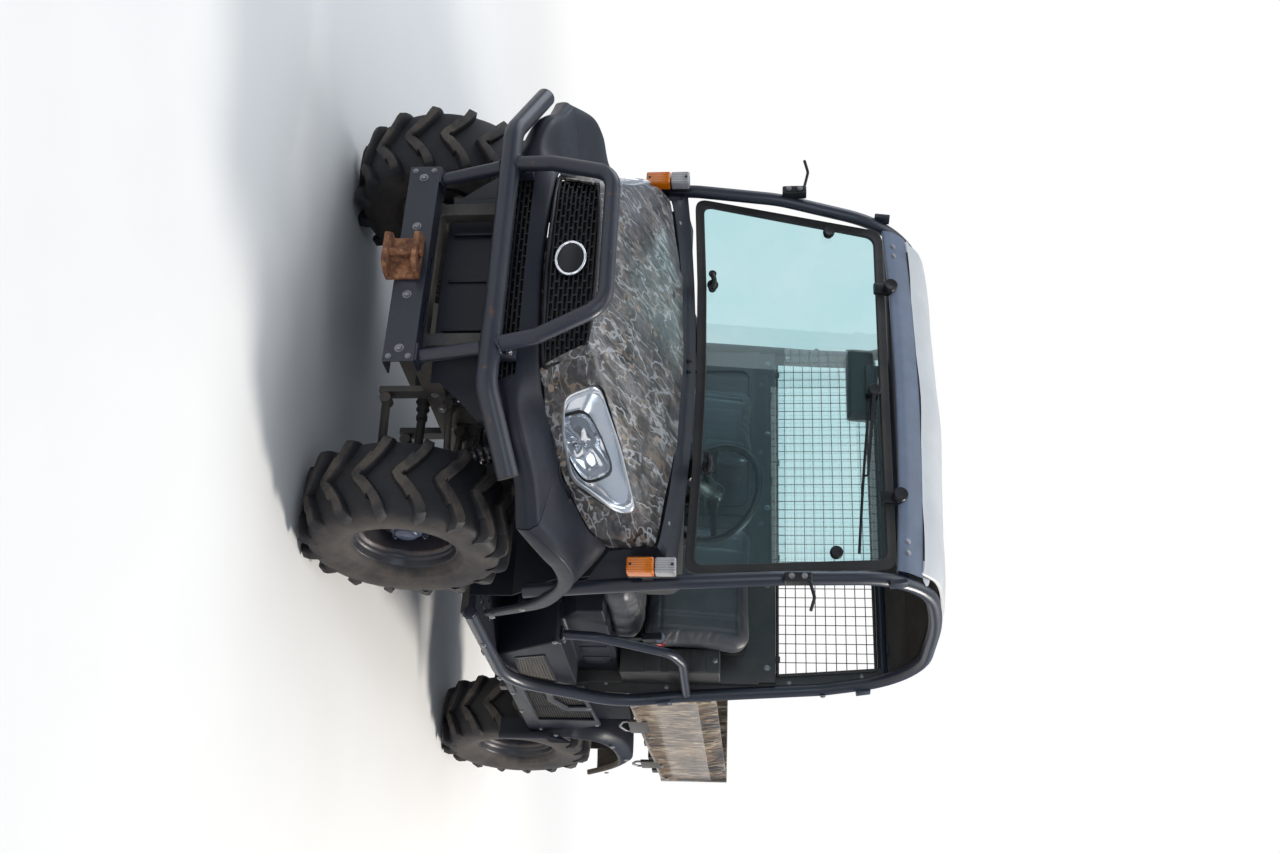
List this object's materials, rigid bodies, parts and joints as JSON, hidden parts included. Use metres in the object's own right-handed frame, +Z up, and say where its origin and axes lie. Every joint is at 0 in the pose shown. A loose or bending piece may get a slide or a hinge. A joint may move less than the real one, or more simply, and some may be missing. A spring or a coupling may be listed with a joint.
{
  "type": "side by side utv",
  "caption": "Open two seat utility vehicle with roll cage, roof, windshield, front brush guard and a tipping cargo bed.",
  "frame": {"origin": "on the ground under the middle of the whole vehicle", "axes": "+Z up, the vehicle drives towards -Y, +X is the driver's left"},
  "size_m": [1.6634, 2.916, 1.972],
  "materials": {
    "tyre_rubber": "dusty",
    "rim_steel": "semi-gloss with rust at the flange",
    "chassis_paint": "semi-gloss",
    "machined_steel": "dull",
    "cast_iron": "rough",
    "cage_paint": "semi-gloss, rust at the welds",
    "black_plastic": "fine grain",
    "dash_plastic": "fine grain",
    "seat_vinyl": "grained vinyl",
    "camo_plastic": "brown and grey camouflage",
    "roof_white": "white, faintly dusty",
    "header_grey": "grey blue",
    "wall_paint": "satin",
    "mesh_wire": "black",
    "windshield_glass": "green tint",
    "gasket_rubber": "matte",
    "chrome_lamp": "polished",
    "signal_lens": "orange and clear",
    "tail_lens": "red",
    "rusty_steel": "rusty",
    "dusty_plastic": "dusty brown",
    "exhaust_steel": "heat stained"
  },
  "bodies": {
    "vehicle": {"brush_guard": "cage_paint", "cage_crossbars": "cage_paint", "cage_left": "cage_paint", "cage_right": "cage_paint", "chassis_frame": "chassis_paint", "cowl_panel": "black_plastic", "dashboard": "dash_plastic", "driveline": "cast_iron", "engine_block": "cast_iron", "exhaust": "exhaust_steel", "floor_pan": "black_plastic", "front_arms": "chassis_paint", "front_fascia": "black_plastic", "front_fenders": "black_plastic", "grab_bars": "cage_paint", "guard_carrier": "chassis_paint", "half_shafts": "machined_steel", "mirror_stalks": "cage_paint", "pedals": "black_plastic", "rear_arms": "chassis_paint", "rear_fenders": "dusty_plastic", "rear_hitch": "chassis_paint", "rear_screen": "mesh_wire", "rear_wall": "wall_paint", "roof_header": "header_grey", "roof_panel": "roof_white", "seat_backrests": "seat_vinyl", "seat_base": "black_plastic", "seat_cushions": "seat_vinyl", "shock_absorbers": "machined_steel", "side_panels": "black_plastic", "side_screens": "mesh_wire", "steering_rack": "machined_steel", "tail_lamps": "tail_lens", "tow_jaw": "rusty_steel", "turn_signals": "signal_lens", "windshield_border": "gasket_rubber", "windshield_fittings": "black_plastic", "windshield_glass": "windshield_glass"},
    "knuckle_left": {"knuckle_left": "cast_iron"},
    "knuckle_right": {"knuckle_right": "cast_iron"},
    "wheel_front_left": {"tyre_front_left": "tyre_rubber", "rim_front_left": "rim_steel"},
    "wheel_front_right": {"tyre_front_right": "tyre_rubber", "rim_front_right": "rim_steel"},
    "wheel_rear_left": {"tyre_rear_left": "tyre_rubber", "rim_rear_left": "rim_steel"},
    "wheel_rear_right": {"tyre_rear_right": "tyre_rubber", "rim_rear_right": "rim_steel"},
    "steering_wheel": {"steering_wheel": "black_plastic"},
    "hood": {"hood": "camo_plastic", "headlamps": "chrome_lamp", "grille": "black_plastic"},
    "bed": {"bed_floor": "wall_paint", "bed_sides": "camo_plastic"},
    "tailgate": {"tailgate": "camo_plastic"}
  },
  "joints": [
    {"name": "steer_left", "type": "hinge", "parent": "vehicle", "child": "knuckle_left", "pos_m": [0.54, -0.877, 0.313], "axis": [0, 0, 1], "range_deg": [-30, 30]},
    {"name": "steer_right", "type": "hinge", "parent": "vehicle", "child": "knuckle_right", "pos_m": [-0.54, -0.877, 0.313], "axis": [0, 0, 1], "range_deg": [-30, 30]},
    {"name": "steering_wheel_turn", "type": "hinge", "parent": "vehicle", "child": "steering_wheel", "pos_m": [0.3, -0.425, 1.2], "axis": [0, 0.8829, 0.4695], "range_deg": [-450, 450]},
    {"name": "spin_front_left", "type": "hinge", "parent": "knuckle_left", "child": "wheel_front_left", "pos_m": [0.607, -0.877, 0.313], "axis": [1, 0, 0], "continuous": true},
    {"name": "spin_front_right", "type": "hinge", "parent": "knuckle_right", "child": "wheel_front_right", "pos_m": [-0.607, -0.877, 0.313], "axis": [1, 0, 0], "continuous": true},
    {"name": "spin_rear_left", "type": "hinge", "parent": "vehicle", "child": "wheel_rear_left", "pos_m": [0.607, 1.133, 0.313], "axis": [1, 0, 0], "continuous": true},
    {"name": "spin_rear_right", "type": "hinge", "parent": "vehicle", "child": "wheel_rear_right", "pos_m": [-0.607, 1.133, 0.313], "axis": [1, 0, 0], "continuous": true},
    {"name": "hood_hinge", "type": "hinge", "parent": "vehicle", "child": "hood", "pos_m": [0, -1.301, 0.738], "axis": [1, 0, 0], "range_deg": [0, 25]},
    {"name": "bed_tilt", "type": "hinge", "parent": "vehicle", "child": "bed", "pos_m": [0, 1.323, 0.7], "axis": [-1, 0, 0], "range_deg": [0, 45]},
    {"name": "tailgate_hinge", "type": "hinge", "parent": "bed", "child": "tailgate", "pos_m": [0, 1.458, 0.894], "axis": [-1, 0, 0], "range_deg": [0, 90]}
  ],
  "couplings": [
    {"joint": "steer_right", "follows": "steer_left", "ratio": 1},
    {"joint": "steering_wheel_turn", "follows": "steer_left", "ratio": 15}
  ]
}
